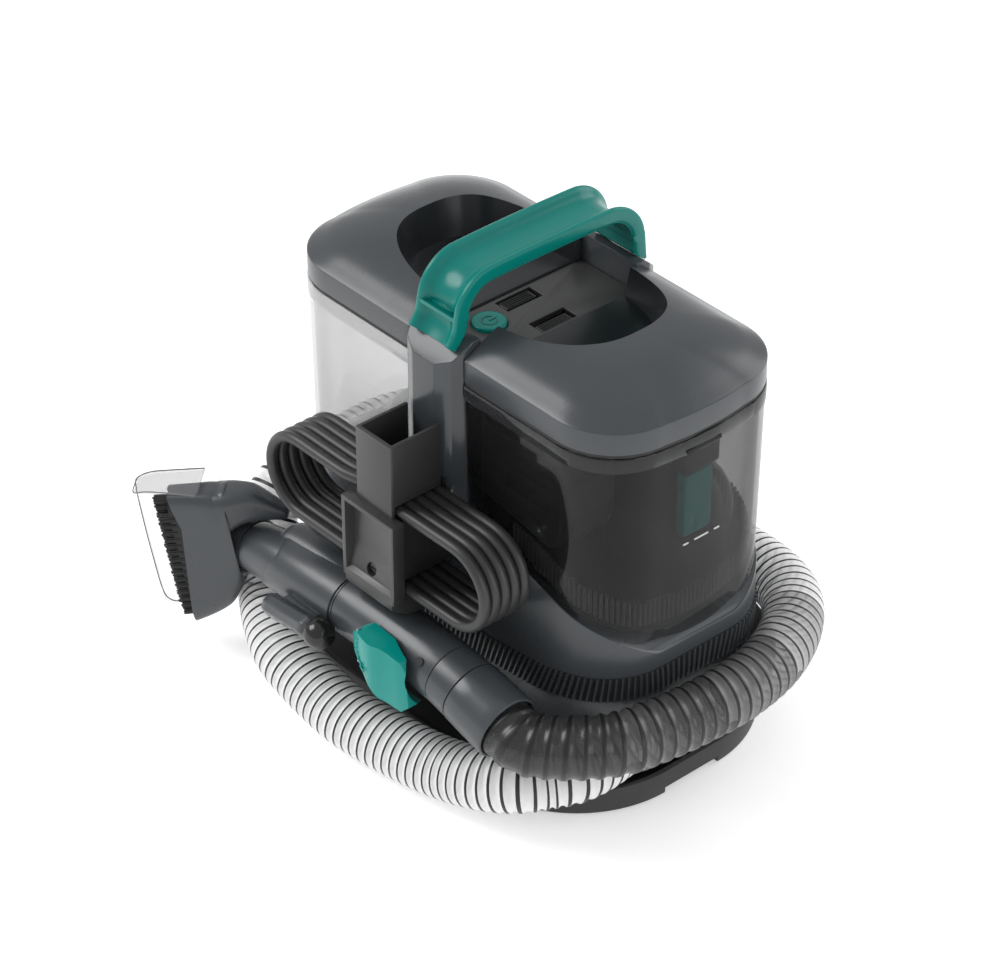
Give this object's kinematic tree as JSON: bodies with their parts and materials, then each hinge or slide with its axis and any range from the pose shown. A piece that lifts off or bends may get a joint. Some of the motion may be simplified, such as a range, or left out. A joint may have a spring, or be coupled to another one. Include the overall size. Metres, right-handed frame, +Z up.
{
  "type": "carpet cleaner machine",
  "caption": "Portable carpet spot cleaner with twin lift-off tanks, carry handle, suction hose, spray wand with upholstery tool and a wound mains cord.",
  "frame": {"origin": "centre of the bounding box of the machine and its wand in plan, on the floor plane", "axes": "+X towards the recovery tank, -Y towards the front with the cord bracket and wand, +Z up"},
  "size_m": [0.3929, 0.2976, 0.33],
  "materials": {
    "grey_plastic": "satin moulded",
    "dark_plastic": "satin moulded",
    "deck_plastic": "fine texture",
    "teal_plastic": "satin moulded",
    "clear_plastic": "clear polished",
    "smoked_plastic": "smoked clear polished",
    "rubber": "matte",
    "bristle": "fibre",
    "hose": "translucent, ribbed",
    "cord": "matte jacket",
    "steel": "brushed",
    "board": "solder mask"
  },
  "bodies": {
    "machine": {"base_tray": "dark_plastic", "foot_front_left": "rubber", "foot_front_right": "rubber", "foot_back_left": "rubber", "foot_back_right": "rubber", "base_core": "dark_plastic", "hose_shelf": "dark_plastic", "base_housing": "grey_plastic", "motor_cover": "dark_plastic", "pump_cover": "dark_plastic", "vacuum_motor": "steel", "fan_plate": "dark_plastic", "water_pump": "dark_plastic", "control_board": "board", "power_switch": "dark_plastic", "hose_port": "dark_plastic", "centre_column": "grey_plastic", "top_deck": "deck_plastic", "carry_handle": "teal_plastic", "cord_bracket": "dark_plastic", "bracket_screw": "steel", "cord_hank": "cord", "cord_strain_relief": "rubber", "power_plug": "dark_plastic", "wand_neck": "grey_plastic", "wand_grip": "grey_plastic", "wand_tail": "grey_plastic", "trigger_pin": "steel", "spray_valve": "grey_plastic", "valve_cap": "dark_plastic", "wand_screw": "steel", "hose": "hose"},
    "fan": {"motor_fan": "dark_plastic", "motor_shaft": "steel"},
    "button": {"power_button": "teal_plastic"},
    "clean_catch": {"clean_tank_catch": "dark_plastic"},
    "dirty_catch": {"dirty_tank_catch": "dark_plastic"},
    "clean_tank": {"clean_tank": "clear_plastic"},
    "clean_lid": {"clean_tank_lid": "grey_plastic", "clean_tank_seal": "rubber"},
    "valve": {"tank_valve": "rubber"},
    "recovery_tank": {"dirty_tank": "smoked_plastic", "float_guide": "dark_plastic"},
    "recovery_lid": {"dirty_tank_lid": "grey_plastic", "dirty_tank_seal": "rubber", "inlet_baffle": "dark_plastic"},
    "float": {"float": "teal_plastic"},
    "trigger": {"spray_trigger": "teal_plastic"},
    "cuff": {"hose_cuff": "grey_plastic"},
    "tool": {"tool_body": "grey_plastic", "tool_window": "clear_plastic", "tool_brush": "bristle"}
  },
  "joints": [
    {"name": "fan_spin", "type": "hinge", "parent": "machine", "child": "fan", "pos_m": [0.104, 0.0511, 0.085], "axis": [0, 0, 1], "continuous": true},
    {"name": "button_press", "type": "slide", "parent": "machine", "child": "button", "axis": [0, 0, -1], "range_m": [0, 0.0025], "stiffness_N_per_m": 400},
    {"name": "clean_catch_slide", "type": "slide", "parent": "machine", "child": "clean_catch", "axis": [1, 0, 0], "range_m": [0, 0.003], "stiffness_N_per_m": 400},
    {"name": "recovery_catch_slide", "type": "slide", "parent": "machine", "child": "dirty_catch", "axis": [-1, 0, 0], "range_m": [0, 0.003], "stiffness_N_per_m": 400},
    {"name": "clean_tank_lift", "type": "slide", "parent": "machine", "child": "clean_tank", "axis": [0, 0, 1], "range_m": [0, 0.12]},
    {"name": "clean_lid_lift", "type": "slide", "parent": "clean_tank", "child": "clean_lid", "axis": [0, 0, 1], "range_m": [0, 0.05]},
    {"name": "valve_open", "type": "slide", "parent": "clean_tank", "child": "valve", "axis": [0, 0, 1], "range_m": [0, 0.004], "stiffness_N_per_m": 200},
    {"name": "recovery_tank_lift", "type": "slide", "parent": "machine", "child": "recovery_tank", "axis": [0, 0, 1], "range_m": [0, 0.12]},
    {"name": "recovery_lid_lift", "type": "slide", "parent": "recovery_tank", "child": "recovery_lid", "axis": [0, 0, 1], "range_m": [0, 0.05]},
    {"name": "float_rise", "type": "slide", "parent": "recovery_tank", "child": "float", "axis": [0, 0, 1], "range_m": [0, 0.012]},
    {"name": "trigger_pull", "type": "hinge", "parent": "machine", "child": "trigger", "pos_m": [0.026, -0.1149, 0.096], "axis": [0, 0, 1], "range_deg": [0, 5], "stiffness_Nm_per_rad": 1.5},
    {"name": "cuff_swivel", "type": "hinge", "parent": "machine", "child": "cuff", "pos_m": [0.0962, -0.0869, 0.08729], "axis": [0.9771, 0, -0.2128], "continuous": true},
    {"name": "tool_pull_off", "type": "slide", "parent": "machine", "child": "tool", "axis": [-0.9907, 0, -0.1357], "range_m": [0, 0.03]}
  ]
}
